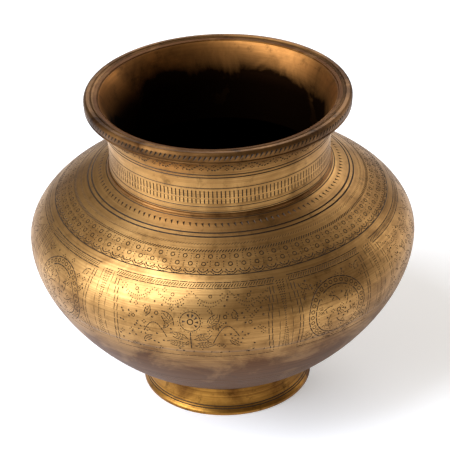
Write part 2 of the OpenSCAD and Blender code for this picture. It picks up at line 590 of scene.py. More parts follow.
class Chaser:
    """Lays out marks on a turned surface and refuses any that would run into another."""

    CELL = 1.2 * MM  # side of the cells that marks are looked up in

    def __init__(self, curve: Curve, top: float) -> None:
        """Starts with an unmarked surface.

        Args:
            curve: Outline of the surface, rising.
            top: Length along it that heights are measured down from.
        """
        self.curve = curve
        self.top = top
        self.marks: list[tuple[Vector, Vector, Vector, int]] = []
        self.taken: dict[tuple[int, int, int], list[tuple[Vector, float]]] = {}

    def place(self, angle: float, down: float) -> tuple[Vector, Matrix]:
        """Finds a place on the surface.

        Args:
            angle: Angle round +Z, 0 at the front and growing to the right.
            down: Length below the top along the surface.

        Returns:
            The point, and the axes there: right, up and outward.
        """
        r, z = self.curve.at(self.top - down)
        dr, dz = self.curve.along(self.top - down)
        right = Vector((math.cos(angle), math.sin(angle), 0))
        out = Vector((math.sin(angle), -math.cos(angle), 0))
        rise = out * dr + Vector((0, 0, dz))
        return out * r + Vector((0, 0, z)), Matrix((right, rise, right.cross(rise))).transposed()

    def cut(
        self,
        tool: Tool,
        angle: float,
        down: float,
        long: float,
        wide: float,
        depth: float,
        turn: float = 0.0,
        spare: float = 0.04 * MM,
    ) -> bool:
        """Makes one mark.

        Args:
            tool: What it is cut with.
            angle: Angle round +Z.
            down: Length below the top along the surface.
            long, wide, depth: Size of the mark.
            turn: Turn of its length from level.
            spare: Metal kept between it and its neighbours.

        Returns:
            Whether there was room for it.
        """
        at, axes = self.place(angle, down)
        spin = axes @ Matrix.Rotation(turn, 3, "Z")
        straight = tool in (Tool.STROKE, Tool.WEDGE)
        reach = wide * 0.52 if straight else long * 0.58
        count = max(1, math.ceil(long / max(wide, 0.4 * MM))) if straight else 1
        tests = [at + spin.col[0] * long * ((i + 0.5) / count - 0.5) for i in range(count)]
        cells = [tuple(math.floor(v / self.CELL) for v in p) for p in tests]
        for p, (x, y, z) in zip(tests, cells):
            for dx, dy, dz in product((-1, 0, 1), repeat=3):
                for q, size in self.taken.get((x + dx, y + dy, z + dz), ()):
                    if (p - q).length < reach + size + spare:
                        return False
        for p, cell in zip(tests, cells):
            self.taken.setdefault(cell, []).append((p, reach))
        self.marks.append((at, Vector(spin.to_euler()), Vector((long, wide, depth)), tool.value))
        return True

    def ring_of(self, row: Row, down: float) -> None:
        """Makes a row of one mark all the way round.

        Args:
            row: The mark, and the distance between marks.
            down: Length below the top along the surface.
        """
        count = round(TAU * self.curve.at(self.top - down)[0] / (row.pitch * MM))
        size = (row.long * MM, row.wide * MM, row.depth * MM)
        for i in range(count):
            self.cut(row.tool, TAU * i / count, down, *size, math.radians(row.turn), 0.03 * MM)

    def mesh(self, name: str) -> bpy.types.Object:
        """Turns the marks into points that carry their turn, size and tool.

        Args:
            name: Name of the points object.

        Returns:
            The points object.
        """
        mesh = bpy.data.meshes.new(name)
        mesh.from_pydata([m[0] for m in self.marks], [], [])
        for key, kind, column in (("turn", "FLOAT_VECTOR", 1), ("size", "FLOAT_VECTOR", 2)):
            mesh.attributes.new(key, kind, "POINT").data.foreach_set(
                "vector", [v for m in self.marks for v in m[column]]
            )
        kinds = mesh.attributes.new("tool", "INT", "POINT")
        kinds.data.foreach_set("value", [m[3] for m in self.marks])
        made = bpy.data.objects.new(name, mesh)
        bpy.context.scene.collection.objects.link(made)
        made.hide_render = True
        return made


def chasing_tree() -> bpy.types.NodeTree:
    """Builds the node tree that stamps every mark and cuts it from the surface.

    Returns:
        A tree with inputs for the surface, the marks, each tool and the material in the cuts.
    """
    tree = bpy.data.node_groups.new("chasing", "GeometryNodeTree")
    face = tree.interface
    face.new_socket("Geometry", in_out="OUTPUT", socket_type="NodeSocketGeometry")
    face.new_socket("Geometry", in_out="INPUT", socket_type="NodeSocketGeometry")
    face.new_socket("Marks", in_out="INPUT", socket_type="NodeSocketObject")
    for tool in Tool:
        face.new_socket(tool.name.title(), in_out="INPUT", socket_type="NodeSocketObject")
    face.new_socket("Patina", in_out="INPUT", socket_type="NodeSocketMaterial")
    start = tree.nodes.new("NodeGroupInput")
    marks = add_node(tree, "GeometryNodeObjectInfo", {"Object": start.outputs["Marks"]})
    turn, size, which = (
        add_node(tree, "GeometryNodeInputNamedAttribute", {"Name": name}, data_type=kind)
        for name, kind in (("turn", "FLOAT_VECTOR"), ("size", "FLOAT_VECTOR"), ("tool", "INT"))
    )
    spin = add_node(tree, "FunctionNodeEulerToRotation", {"Euler": turn.outputs["Attribute"]})
    join = tree.nodes.new("GeometryNodeJoinGeometry")
    for tool in Tool:
        pair = {2: which.outputs["Attribute"], 3: tool.value}
        same = add_node(tree, "FunctionNodeCompare", pair, data_type="INT", operation="EQUAL")
        shape = add_node(tree, "GeometryNodeObjectInfo", {"Object": start.outputs[tool.name.title()]})
        stamp = add_node(
            tree,
            "GeometryNodeInstanceOnPoints",
            {
                "Points": marks.outputs["Geometry"],
                "Selection": same.outputs[0],
                "Instance": shape.outputs["Geometry"],
                "Rotation": spin.outputs["Rotation"],
                "Scale": size.outputs["Attribute"],
            },
        )
        tree.links.new(stamp.outputs["Instances"], join.inputs[0])
    solid = add_node(tree, "GeometryNodeRealizeInstances", {0: join.outputs[0]})
    dark = add_node(
        tree, "GeometryNodeSetMaterial", {"Geometry": solid.outputs[0], "Material": start.outputs["Patina"]}
    )
    cut = add_node(tree, "GeometryNodeMeshBoolean", operation="DIFFERENCE", solver="MANIFOLD")
    tree.links.new(start.outputs["Geometry"], cut.inputs[0])
    tree.links.new(dark.outputs[0], cut.inputs[1])
    end = tree.nodes.new("NodeGroupOutput")
    tree.links.new(cut.outputs[0], end.inputs[0])
    return tree


@dataclass
class Workshop:
    """The tools, the node tree and the material in the cuts, which the chased pieces share."""

    tree: bpy.types.NodeTree
    tools: dict[Tool, bpy.types.Object]
    patina: bpy.types.Material

    def chase(self, piece: bpy.types.Object, chaser: Chaser) -> None:
        """Cuts a chaser's marks into a piece.

        Args:
            piece: Closed mesh to cut.
            chaser: The marks.
        """
        points = chaser.mesh(piece.name + "_marks")
        modifier = piece.modifiers.new("chasing", "NODES")
        modifier.node_group = self.tree
        ids = {
            item.name: item.identifier
            for item in self.tree.interface.items_tree
            if item.in_out == "INPUT"
        }
        modifier[ids["Marks"]] = points
        for tool, shape in self.tools.items():
            modifier[ids[tool.name.title()]] = shape
        modifier[ids["Patina"]] = self.patina
        graph = bpy.context.evaluated_depsgraph_get()
        before = len(piece.data.polygons)
        baked = bpy.data.meshes.new_from_object(piece.evaluated_get(graph))
        piece.modifiers.remove(modifier)
        if len(baked.polygons) > before:
            piece.data = baked
        bpy.data.objects.remove(points)
        log.info("%s: %d marks, %d faces", piece.name, len(chaser.marks), len(piece.data.polygons))


# --------------------------------------------------------------------------
# Patterns


@dataclass
class Pen:
    """Draws in millimetres on a flat patch of a chased surface."""

    chaser: Chaser
    angle: float
    down: float
    depth: float = 0.34

    def mark(
        self, tool: Tool, x: float, y: float, long: float, wide: float, turn: float = 0.0
    ) -> bool:
        """Makes one mark.

        Args:
            tool: What it is cut with.
            x, y: Its place, to the right of and up from the patch's middle.
            long, wide: Its size.
            turn: Turn of its length from level.

        Returns:
            Whether there was room for it.
        """
        down = self.down - y * MM
        r = self.chaser.curve.at(self.chaser.top - down)[0]
        depth = self.depth * min(1.0, 0.5 + wide * 0.6)
        angle = self.angle + x * MM / r
        return self.chaser.cut(tool, angle, down, long * MM, wide * MM, depth * MM, turn)

    def dot(self, x: float, y: float, size: float = 0.8) -> bool:
        """Punches one dot."""
        return self.mark(Tool.DOT, x, y, size, size)

    def path(
        self,
        point: Callable[[float], Point],
        length: float,
        stroke: float = 2.2,
        wide: float = 0.42,
        gap: float = 0.17,
    ) -> None:
        """Cuts a chain of strokes along a path.

        Args:
            point: The path, from 0 to 1.
            length: Its length.
            stroke, wide: Size of each stroke.
            gap: Metal left between strokes.
        """
        count = max(1, round(length / (stroke + gap)))
        for i in range(count):
            (xa, ya), (xb, yb) = point(i / count), point((i + 1) / count)
            long = math.hypot(xb - xa, yb - ya) - gap
            if long > 0.3:
                turn = math.atan2(yb - ya, xb - xa)
                self.mark(Tool.STROKE, (xa + xb) / 2, (ya + yb) / 2, long, wide, turn)

    def line(self, a: Point, b: Point, stroke: float = 3.4, wide: float = 0.38) -> None:
        """Cuts a straight line.

        Args:
            a, b: Its ends.
            stroke, wide: Size of each stroke.
        """
        run = (b[0] - a[0], b[1] - a[1])
        self.path(lambda t: (a[0] + run[0] * t, a[1] + run[1] * t), math.dist(a, b), stroke, wide)

    def arc(
        self,
        x: float,
        y: float,
        r: float,
        start: float = 0.0,
        sweep: float = TAU,
        stroke: float = 2.0,
        wide: float = 0.4,
    ) -> None:
        """Cuts an arc.

        Args:
            x, y: Its centre.
            r: Its radius.
            start, sweep: Where it starts, and how far it turns.
            stroke, wide: Size of each stroke.
        """

        def point(t: float) -> Point:
            """The point a share t along the arc."""
            return (x + r * math.cos(start + sweep * t), y + r * math.sin(start + sweep * t))

        self.path(point, abs(sweep) * r, stroke, wide)

    def dots_on(
        self, x: float, y: float, r: float, count: int, size: float = 0.6, turn: float = 0.0
    ) -> None:
        """Punches dots evenly round a circle.

        Args:
            x, y: Its centre.
            r: Its radius.
            count: How many dots.
            size: Size of each.
            turn: Where the first one is.
        """
        for i in range(count):
            a = turn + TAU * i / count
            self.dot(x + r * math.cos(a), y + r * math.sin(a), size)

    def flower(self, x: float, y: float, r: float, petals: int = 6) -> None:
        """Punches a flower: a ringed dot with wedge petals.

        Args:
            x, y: Its middle.
            r: Radius of its petals.
            petals: How many it has.
        """
        self.mark(Tool.RING, x, y, r * 0.95, r * 0.95)
        self.dot(x, y, 0.5)
        out = r * 0.85
        for i in range(petals):
            a = TAU * i / petals
            self.mark(Tool.WEDGE, x + out * math.cos(a), y + out * math.sin(a), r * 0.55, r * 0.4, a)

    def leaf(self, x: float, y: float, long: float, wide: float, turn: float) -> None:
        """Cuts a pointed leaf with a vein and slanting hatches.

        Args:
            x, y: Foot of the leaf.
            long, wide: Its size.
            turn: Which way it points.
        """
        c, s = math.cos(turn), math.sin(turn)

        def at(u: float, v: float) -> Point:
            """The point u along the leaf and v to its left."""
            return (x + u * c - v * s, y + u * s + v * c)

        def edge(side: int) -> Callable[[float], Point]:
            """The outline of one side of the leaf."""
            return lambda t: at(long * t, side * wide / 2 * math.sin(math.pi * t) ** 0.8)

        for side in (-1, 1):
            self.path(edge(side), long * 1.12, 1.5, 0.4, 0.2)
            count = max(2, int(long / 1.1))
            for i in range(1, count):
                half = wide / 2 * math.sin(math.pi * i / count)
                if half > 0.75:
                    spot = at(long * i / count + 0.2, side * half * 0.5)
                    self.mark(Tool.STROKE, *spot, half * 0.62, 0.3, turn + side * 0.85)
        self.line(at(0.6, 0), at(long * 0.85, 0), 1.5, 0.3)

    def cluster(self, x: float, y: float, reach: float = 0.75, size: float = 0.6) -> None:
        """Punches four dots in a lozenge."""
        self.dots_on(x, y, reach, 4, size)


@dataclass(frozen=True)
class Panel:
    """A framed field of chasing on the belly."""

    half: float
    tall: float
    seed: int

    def frame(self, pen: Pen) -> None:
        """Cuts the border: a double line, a hatched strip on top and one line below.

        Args:
            pen: Pen at the panel's middle.
        """
        w, h = self.half, self.tall / 2
        for y in (h, h - 2.6):
            pen.line((-w, y), (w, y))
        count = int(2 * w / 1.15)
        for i in range(count):
            pen.mark(Tool.STROKE, -w + 0.6 + i * 1.15, h - 1.3, 1.7, 0.34, 0.95)
        pen.line((-w, -h), (w, -h))
        for side in (-1, 1):
            pen.line((side * w, -h + 0.8), (side * w, h - 3.4))
            pen.line((side * (w - 1.5), -h + 0.8), (side * (w - 1.5), h - 3.4))

    def scatter(self, pen: Pen, count: int) -> None:
        """Fills what is left with single dots and clusters of four.

        Args:
            pen: Pen at the panel's middle.
            count: How many are tried.
        """
        rng = random.Random(self.seed)
        w, h = self.half - 2.6, self.tall / 2 - 1.6
        for i in range(count):
            x, y = rng.uniform(-w, w), rng.uniform(-h, h - 2.8)
            if i % 3:
                pen.mark(Tool.DOT, x, y, 0.95, 0.95)
            else:
                pen.cluster(x, y)


class GardenPanel(Panel):
    """A flowering bush between leaves, under hanging garlands of dots."""

    def draw(self, pen: Pen) -> None:
        """Cuts the panel.

        Args:
            pen: Pen at the panel's middle.
        """
        self.frame(pen)
        w, h = self.half, self.tall / 2
        top = h - 3.6
        swags = 4
        span = (2 * w - 5.2) / swags
        for k in range(swags):
            x0 = -w + 2.6 + (2 * w - 5.2) * k / swags
            for sag, pitch in ((4.6, 1.15), (6.2, 1.3)):
                n = int(span * 1.25 / pitch)
                for i in range(n + 1):
                    t = i / n
                    pen.dot(x0 + span * t, top - 0.5 - sag * math.sin(math.pi * t), 0.55)
            pen.flower(x0 + span / 2, top - 2.3, 1.7)
            pen.cluster(x0 + span / 2, top - 8.3)
        ground = -h + 1.6
        for k in range(9):
            x = -w + 5 + (2 * w - 10) * k / 8
            for a in (1.1, 1.57, 2.04):
                pen.mark(Tool.WEDGE, x + 1.3 * math.cos(a), ground + 1.2 * math.sin(a), 2.2, 0.5, a)
        pen.flower(0, 1.2, 3.1, 10)
        pen.arc(0, 1.2, 4.4, 0, TAU, 1.2)
        pen.dots_on(0, 1.2, 5.2, 18, 0.5)
        pen.line((0, -3.6), (0, -h + 5), 2.0, 0.5)
        for side in (-1, 1):
            pen.leaf(side * 1.2, -7.4, 8.2, 3.4, math.pi / 2 - side * 1.25)
            pen.leaf(side * 1.2, -11.2, 9.4, 3.2, math.pi / 2 - side * 1.42)
            pen.leaf(side * 7.0, -1.0, 8.0, 4.0, math.pi / 2 - side * 0.75)
            pen.path(lambda t, k=side: (k * (8.5 + 12 * t), -11.5 + 11 * math.sin(t * 2.6)), 24, 1.5)
            for x, y, long, turn in ((12, -3, 5.2, 2.2), (16.5, -7.5, 5.5, -0.7), (19.5, 1.5, 5.4, 1.9)):
                pen.leaf(side * x, y, long, 2.5, turn if side > 0 else math.pi - turn)
            for x, y, r, petals in ((20.8, -5.4, 2.1, 6), (14.6, 3.6, 2.0, 7), (25.2, 0.8, 1.8, 6)):
                pen.flower(side * x, y, r, petals)
        self.scatter(pen, 150)


class MedallionPanel(Panel):
    """A round medallion of leaves in a beaded ring, with leaves in the corners."""

    def draw(self, pen: Pen) -> None:
        """Cuts the panel.

        Args:
            pen: Pen at the panel's middle.
        """
        self.frame(pen)
        y = -3.2
        pen.arc(0, y, 14.6, stroke=3.0, wide=0.5)
        pen.arc(0, y, 11.4, stroke=2.6, wide=0.5)
        for i in range(30):
            a = TAU * i / 30
            pen.mark(Tool.RING, 13.0 * math.cos(a), y + 13.0 * math.sin(a), 1.9, 1.9)
        pen.dots_on(0, y, 10.1, 36, 0.5)
        pen.flower(0, y, 2.5, 8)
        for i in range(6):
            a = TAU * i / 6 + 0.3
            pen.path(
                lambda t, a=a: (
                    (4.0 + 6.2 * t) * math.cos(a + 0.9 * t), y + (4.0 + 6.2 * t) * math.sin(a + 0.9 * t)
                ),
                8, 1.5, 0.44,
            )
            pen.leaf(6.0 * math.cos(a + 0.75), y + 6.0 * math.sin(a + 0.75), 4.2, 2.3, a + 0.1)
            pen.cluster(8.8 * math.cos(a + 0.42), y + 8.8 * math.sin(a + 0.42), 0.7, 0.5)
        w, h = self.half - 2.4, self.tall / 2
        for sx in (-1, 1):
            for sy, reach in ((1, h - 6.2), (-1, h - 3.4)):
                turn = math.atan2(-sy, -sx)
                pen.leaf(sx * (w - 0.6), sy * reach + 1.5 * (sy > 0), 4.6, 2.4, turn)
                pen.cluster(sx * (w - 1.6), sy * reach - sy * 3.6)
        self.scatter(pen, 90)


@dataclass(frozen=True)
class BodyPattern:
    """All the chasing on the body, which runs over both of its halves."""

    form: PotForm
    pairs: int = 4
    garden_at: float = math.radians(-10)
    medallion_at: float = math.radians(33.8)
    garden_wide: float = math.radians(46)
    medallion_wide: float = math.radians(25)
    dividers: tuple[float, ...] = (math.radians(17.2), math.radians(51.6))
    tall: float = 36.2  # height of the panels in millimetres
    panel_top: float = 32.0  # millimetres down from the neck
    flowers: int = 78

    def draw(self, chaser: Chaser) -> None:
        """Cuts every band from the neck down.

        Args:
            chaser: Chaser of the body, measuring down from the neck.
        """
        for row, down in (
            (Row(Tool.WEDGE, 2.75, 2.1, 1.1, 0.4, 108), 5.0),
            # A fine slanting hatch in the plain band under the two turned lines.
            (Row(Tool.STROKE, 1.3, 1.5, 0.2, 0.1, 40), 14.4),
            (Row(Tool.STROKE, 1.2, 1.7, 0.42, 0.3, 50), 17.6),
        ):
            chaser.ring_of(row, down * MM)
        self.flower_band(chaser)
        middle = (self.panel_top + self.tall / 2) * MM
        r = self.form.belly_r / MM
        for k in range(self.pairs):
            turn = TAU * k / self.pairs
            for panel, at in (
                (GardenPanel(self.garden_wide * r / 2, self.tall, 11 + k), self.garden_at),
                (MedallionPanel(self.medallion_wide * r / 2, self.tall, 41 + k), self.medallion_at),
            ):
                panel.draw(Pen(chaser, turn + at, middle))
            for at in self.dividers:
                self.divider(Pen(chaser, turn + at, middle))
        # One deep casting pit that was never filled.
        Pen(chaser, math.radians(-13.6), 40.5 * MM, 1.3).mark(Tool.DOT, 0, 0, 2.6, 2.1)

    def flower_band(self, chaser: Chaser) -> None:
        """Cuts two staggered rows of ringed flowers over a scalloped edge.

        Args:
            chaser: Chaser of the body.
        """
        step = TAU / self.flowers
        for row, down in enumerate((20.2, 23.7)):
            for i in range(self.flowers):
                pen = Pen(chaser, (i + row / 2) * step, down * MM)
                half = chaser.curve.at(chaser.top - pen.down)[0] * step / MM / 2
                pen.mark(Tool.RING, 0, 0, 2.1, 2.1)
                pen.dot(0, 0, 0.85)
                for k in range(6):
                    a = TAU * k / 6 + 0.5
                    pen.mark(Tool.WEDGE, 1.6 * math.cos(a), 1.6 * math.sin(a), 0.8, 0.6, a)
                for y in (-1.1, 0, 1.1):
                    pen.dot(half, y, 0.55)
                if row:
                    pen.arc(0, -1.6, half * 0.8, math.pi * 1.08, math.pi * 0.84, 1.2, 0.5)
                    pen.arc(0, -1.6, half * 1.1, math.pi * 1.15, math.pi * 0.7, 1.0, 0.4)
                    pen.mark(Tool.WEDGE, half, -3.0, 1.6, 0.8, -math.pi / 2)
                    pen.dot(0, -2.6, 0.6)

    def divider(self, pen: Pen) -> None:
        """Cuts a strip with an hourglass of hatches between two panels.

        Args:
            pen: Pen at the strip's middle.
        """
        h = self.tall / 2
        for k in range(int(2 * h)):
            y = k - h + 1.5
            half = 0.3 + 2.3 * max(0.0, abs(y) / h - 0.12)
            for x in (-0.66, 0.0, 0.66):
                if abs(y) < h - 1.5:
                    pen.mark(Tool.STROKE, x * half, y, max(0.7, half * 0.5), 0.36, 0.6)
        for side in (-1, 1):
            pen.line((side * 2.9, -h + 1), (side * 2.9, h - 1), 6.0, 0.26)


@dataclass(frozen=True)
class NeckPattern:
    """The chasing round the neck, in millimetres."""

    form: PotForm
    vine: float = 4.8  # how far the vine's middle is below the rim band
    units: int = 30  # waves of the vine
    dots: int = 9  # dots in each wave
    swing: float = 1.6  # half the height of a wave

    def draw(self, chaser: Chaser) -> None:
        """Cuts the dotted vine under the rim, and two rows of upright strokes.

        Args:
            chaser: Chaser of the neck, measuring down from the rim band.
        """
        curve, top = chaser.curve, chaser.top
        for lift, long in ((6.6, 2.2), (10.0, 3.4)):
            at = curve.at_height(self.form.shoulder_z + lift * MM)
            chaser.ring_of(Row(Tool.STROKE, 1.8, long, 0.5, 0.34, 90), top - at)
        at = curve.at_height(self.form.band_z - self.vine * MM)
        for k in range(self.units):
            pen = Pen(chaser, TAU * k / self.units, top - at)
            span = TAU * curve.at(top - pen.down)[0] / MM / self.units
            for i in range(self.dots):
                t = i / self.dots
                pen.dot(span * t, self.swing * math.sin(TAU * t), 0.95)
            pen.cluster(span * 0.25, -1.0, 0.7, 0.62)
            pen.cluster(span * 0.75, 1.0, 0.7, 0.62)
            pen.mark(Tool.WEDGE, span * 0.5, -1.9, 1.3, 0.6, math.pi / 2)


# --------------------------------------------------------------------------
# Finishes


@dataclass(frozen=True)
class BrassFinish:
    """How one brass surface looks after years of use."""

    name: str
    bright: str
    worn: str
    stain: str
    gloss: float  # roughness where it is clean
    patina: float  # most that worn patches and stains cover
    streak: float  # most that the scratches darken it
    waves: float = 0.25  # strength of the hammered waves
    levels: tuple[tuple[float, float], ...] = ((0, 0.2), (145, 0.2))  # patina and painted shade by height in millimetres

    def build(self, form: PotForm) -> bpy.types.Material:
        """Builds the material.

        Args:
            form: Sizes of the pot, for the heights where its patina changes.

        Returns:
            A metal whose colour, roughness and bump follow object coordinates.
        """
        made = bpy.data.materials.new(self.name)
        made.use_nodes = True
        tree = made.node_tree
        shader = tree.nodes["Principled BSDF"]
        shader.inputs["Metallic"].default_value = 1.0
        place = add_node(tree, "ShaderNodeTexCoord").outputs["Object"]
        # Turning on the lathe leaves level scratches a few hundredths of a millimetre apart. They
        # are drawn two thirds of a millimetre apart and 70 mm long, or they would not show.
        fine = (1 / (71.4 * MM), 1 / (71.4 * MM), 1 / (2 / 3 * MM))
        stretch = add_node(tree, "ShaderNodeVectorMath", {0: place, 1: fine}, operation="MULTIPLY")
        patches, spots, hammer, scratch = (
            add_node(tree, "ShaderNodeTexNoise", {"Vector": vector, "Scale": scale, **more})
            for vector, scale, more in (
                # Handling and polish have worn the patina off in patches some 26 mm across.
                (place, 1 / (26.3 * MM), {"Detail": 6.0, "Roughness": 0.62, "Distortion": 0.6}),
                # Small dark stains of up to 6 mm, where the metal has oxidised.
                (place, 1 / (5.88 * MM), {"Detail": 4.0, "Roughness": 0.7}),
                # Raising with a hammer leaves broad, very shallow waves about 33 mm across.
                (place, 1 / (33.3 * MM), {"Detail": 1.0}),
                (stretch.outputs[0], 1.0, {"Detail": 5.0, "Roughness": 0.7}),
            )
        )
        worn, speck, line = (
            add_node(
                tree, "ShaderNodeMapRange",
                {"Value": noise.outputs[0], "From Min": low, "From Max": high, "To Min": 0.0, "To Max": most},
            )
            for noise, low, high, most in (
                (patches, 0.40, 0.66, self.patina), (spots, 0.56, 0.72, self.patina),
                (scratch, 0.35, 0.7, self.streak),
            )
        )
        # Patina and painted shade by height: a ramp from the foot to the rim darkens the colour at the
        # heights that the levels give.
        height = add_node(tree, "ShaderNodeSeparateXYZ", {0: place})
        reach = {"Value": height.outputs["Z"], "From Max": form.rim_z}
        bands = add_node(tree, "ShaderNodeMapRange", reach)
        patina_and_shade_by_height = add_node(tree, "ShaderNodeValToRGB", {"Fac": bands.outputs[0]})
        self.patina_and_shade_by_height(patina_and_shade_by_height.color_ramp, form)
        both = {0: worn.outputs[0], 1: patina_and_shade_by_height.outputs["Color"]}
        dark = add_node(tree, "ShaderNodeMath", both, operation="ADD", use_clamp=True)
        colour = linear(self.bright)
        for share, other, blend in (
            (dark, self.worn, "MIX"), (line, self.worn, "MULTIPLY"), (speck, self.stain, "MIX")
        ):
            pair = {"Factor": share.outputs[0], 6: colour, 7: linear(other)}
            mix = add_node(tree, "ShaderNodeMix", pair, data_type="RGBA", blend_type=blend)
            colour = mix.outputs[2]
        tree.links.new(colour, shader.inputs["Base Color"])
        rough = self.gloss
        for share, more in ((dark, 0.16), (line, 0.1)):
            sum_of = {0: share.outputs[0], 1: more, 2: rough}
            rough = add_node(tree, "ShaderNodeMath", sum_of, operation="MULTIPLY_ADD").outputs[0]
        tree.links.new(rough, shader.inputs["Roughness"])
        broad = add_node(
            tree, "ShaderNodeBump",
            {"Height": hammer.outputs[0], "Strength": self.waves, "Distance": 1.2 * MM},
        )
        bump = add_node(
            tree, "ShaderNodeBump",
            {"Height": scratch.outputs[0], "Strength": 0.25, "Distance": 0.03 * MM,
             "Normal": broad.outputs[0]},
        )
        tree.links.new(bump.outputs[0], shader.inputs["Normal"])
        return made

    def patina_and_shade_by_height(self, ramp: bpy.types.ColorRamp, form: PotForm) -> None:
        """Sets how much patina and painted shade each height holds.

        Args:
            ramp: Ramp from the foot to the rim.
            form: Sizes of the pot.
        """
        while len(ramp.elements) < len(self.levels):
            ramp.elements.new(1.0)
        for element, (z, level) in zip(ramp.elements, self.levels):
            element.position = z * MM / form.rim_z
            element.color = (level, level, level, 1)


def patina_material() -> bpy.types.Material:
    """Black-brown tarnish and old polish packed into the chased cuts; it hardly shines.

    Returns:
        The material.
    """
    made = bpy.data.materials.new("tarnish_in_cuts")
    made.use_nodes = True
    tree = made.node_tree
    shader = tree.nodes["Principled BSDF"]
    shader.inputs["Metallic"].default_value = 0.5
    shader.inputs["Roughness"].default_value = 0.6
    place = add_node(tree, "ShaderNodeTexCoord").outputs["Object"]
    # It is patchy over some 4 mm, from nearly black to brown.
    coarse = {"Vector": place, "Scale": 1 / (3.85 * MM), "Detail": 2.0}
    grain = add_node(tree, "ShaderNodeTexNoise", coarse)
    tones = {"Factor": grain.outputs[0], 6: linear("#1c130b"), 7: linear("#4a3319")}
    tone = add_node(tree, "ShaderNodeMix", tones, data_type="RGBA")
    tree.links.new(tone.outputs[2], shader.inputs["Base Color"])
    return made


# --------------------------------------------------------------------------
# The pieces


@dataclass
class Finishes:
    """The materials on the pot."""

    body: bpy.types.Material
    rim: bpy.types.Material
    foot: bpy.types.Material
    braze: bpy.types.Material
    tarnish: bpy.types.Material
    # The inside's oxide, with painted shade that darkens it down the throat.
    inside: bpy.types.Material


@dataclass
class Piece:
    """One formed piece of the pot, which stands for one CAD node."""

    form: PotForm
    finishes: Finishes
    workshop: Workshop
    cad_node: str = ""
    slot: str = "body_brass"

    def section(self) -> Section:
        """Outline of the piece, going round with the metal on its left."""
        raise NotImplementedError

    def finish(self) -> bpy.types.Material:
        """The piece's main material."""
        return self.finishes.body

    def chasing(self) -> Chaser | None:
        """The marks cut into the piece, if it has any."""
        return None

    def build(self) -> bpy.types.Object:
        """Builds, chases and dresses the piece.

        Returns:
            The finished object.
        """
        turned = Turned(self.section())
        made = turned.build("lota_" + self.cad_node)
        chaser = self.chasing()
        if chaser is not None:
            self.workshop.chase(made, chaser)
            made.data.materials.clear()
        for material in (self.finish(), self.finishes.tarnish, self.finishes.inside):
            made.data.materials.append(material)
        turned.shade(made, 1 if chaser is not None else 0)
        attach(made, "root")
        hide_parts(self.cad_node)
        log.info("%s: %d faces", made.name, len(made.data.polygons))
        return made


@dataclass
class FootRing(Piece):
    """The flared ring that the pot stands on."""

    cad_node: str = "foot_ring"
    slot: str = "foot_brass"

    def section(self) -> Section:
        """Draws the piece.

        Returns:
            Its outline: flat below, a rounded edge, a hollow waist and a straight bore.
        """
        f = self.form
        edge = 0.5 * MM
        top = f.bowl_z - 0.3 * MM
        made = Section()
        made.add((f.foot_r - f.foot_wall, 0), (f.foot_r - edge, 0), sharp=True)
        made.add((f.foot_r - 0.1 * MM, 0.2 * MM), sharp=True)
        made.add((f.foot_r, edge), (f.foot_r, 3 * edge), sharp=True)
        side = Curve(
            cubic((f.foot_r, 3 * edge), (f.waist_r + 1.6 * MM, 4 * MM), (f.waist_r, 0.5 * f.bowl_z),
                  (f.waist_r + 0.6 * MM, top), t / 40)
            for t in range(1, 41)
        )
        lines = [Line(side.length * k, 0.5 * MM, 0.14 * MM) for k in (0.12, 0.2, 0.82)]
        made.run(side, 0, side.length, 0.6 * MM, lines)
        bore = f.waist_r - f.foot_wall
        made.add((bore, top - 0.8 * MM), (bore, 0.4 * f.bowl_z), sharp=True)
        return made

    def finish(self) -> bpy.types.Material:
        """Polished foot brass."""
        return self.finishes.foot


@dataclass
class BowlShell(Piece):
    """The lower half of the body."""

    cad_node: str = "bowl_shell"

    def section(self) -> Section:
        """Draws the piece.

        Returns:
            Its outline: the bottom, the outside, the tongue, and the inside.
        """
        f = self.form
        curve = f.body_curve()
        seam = curve.at_height(f.body(f.seam)[1])
        made = Section().add((0, f.bowl_z - f.bowl_sag))
        for i in range(1, 12):
            t = i / 12
            made.add((f.bowl_r * t, f.bowl_z - f.bowl_sag * (1 - t * t)))
        first = curve.at_height(24 * MM)
        lines = [Line(first + k * 2.9 * MM, 0.3 * MM, 0.06 * MM) for k in range(1, 9)]
        made.add(curve.at(0), sharp=True)
        made.run(curve, 0.4 * MM, seam - f.braze, 1.6 * MM, lines)
        made.add(curve.below(seam, f.wall / 2), sharp=True)
        made.add(curve.below(seam + f.lap, f.wall / 2), curve.below(seam + f.lap, f.wall), sharp=True)
        made.turn_inside()
        for i in range(1, 26):
            made.add(curve.below((seam + f.lap) * (1 - i / 26), f.wall))
        for i in range(11, 0, -1):
            t = i / 12
            made.add((f.bowl_r * t * 0.97, f.bowl_z - f.bowl_sag * (1 - t * t) + f.wall))
        made.add((0, f.bowl_z - f.bowl_sag + f.wall))
        return made

    def chasing(self) -> Chaser:
        """The body's pattern, whose lowest marks reach this half."""
        return body_chasing(self.form)


@dataclass
class ShoulderShell(Piece):
    """The upper half of the body."""

    cad_node: str = "shoulder_shell"

    def section(self) -> Section:
        """Draws the piece.

        Returns:
            Its outline: the outside with its turned lines, the neck's seat, and the inside.
        """
        f = self.form
        curve = f.body_curve()
        seam = curve.at_height(f.body(f.seam)[1])
        top = curve.length
        lines = [Line(top - d * MM, 0.7 * MM, 0.36 * MM) for d in (8.9, 10.9)]
        lines += [Line(top - d * MM, 0.45 * MM, 0.2 * MM) for d in (1.6, 28.6)]
        made = Section()
        made.run(curve, seam + f.braze, top, 1.6 * MM, lines)
        made.add((f.neck_r, f.shoulder_z - f.wall * 1.25), sharp=True)
        low = seam + f.lap
        made.turn_inside()
        for i in range(1, 22):
            s = top - 2.5 * MM - (top - 2.5 * MM - low) * i / 22
            made.add(curve.below(s, f.wall), sharp=i in (1, 21))
        made.add(curve.below(low, f.wall / 2), curve.below(seam, f.wall / 2), sharp=True)
        return made

    def chasing(self) -> Chaser:
        """The body's pattern."""
        return body_chasing(self.form)


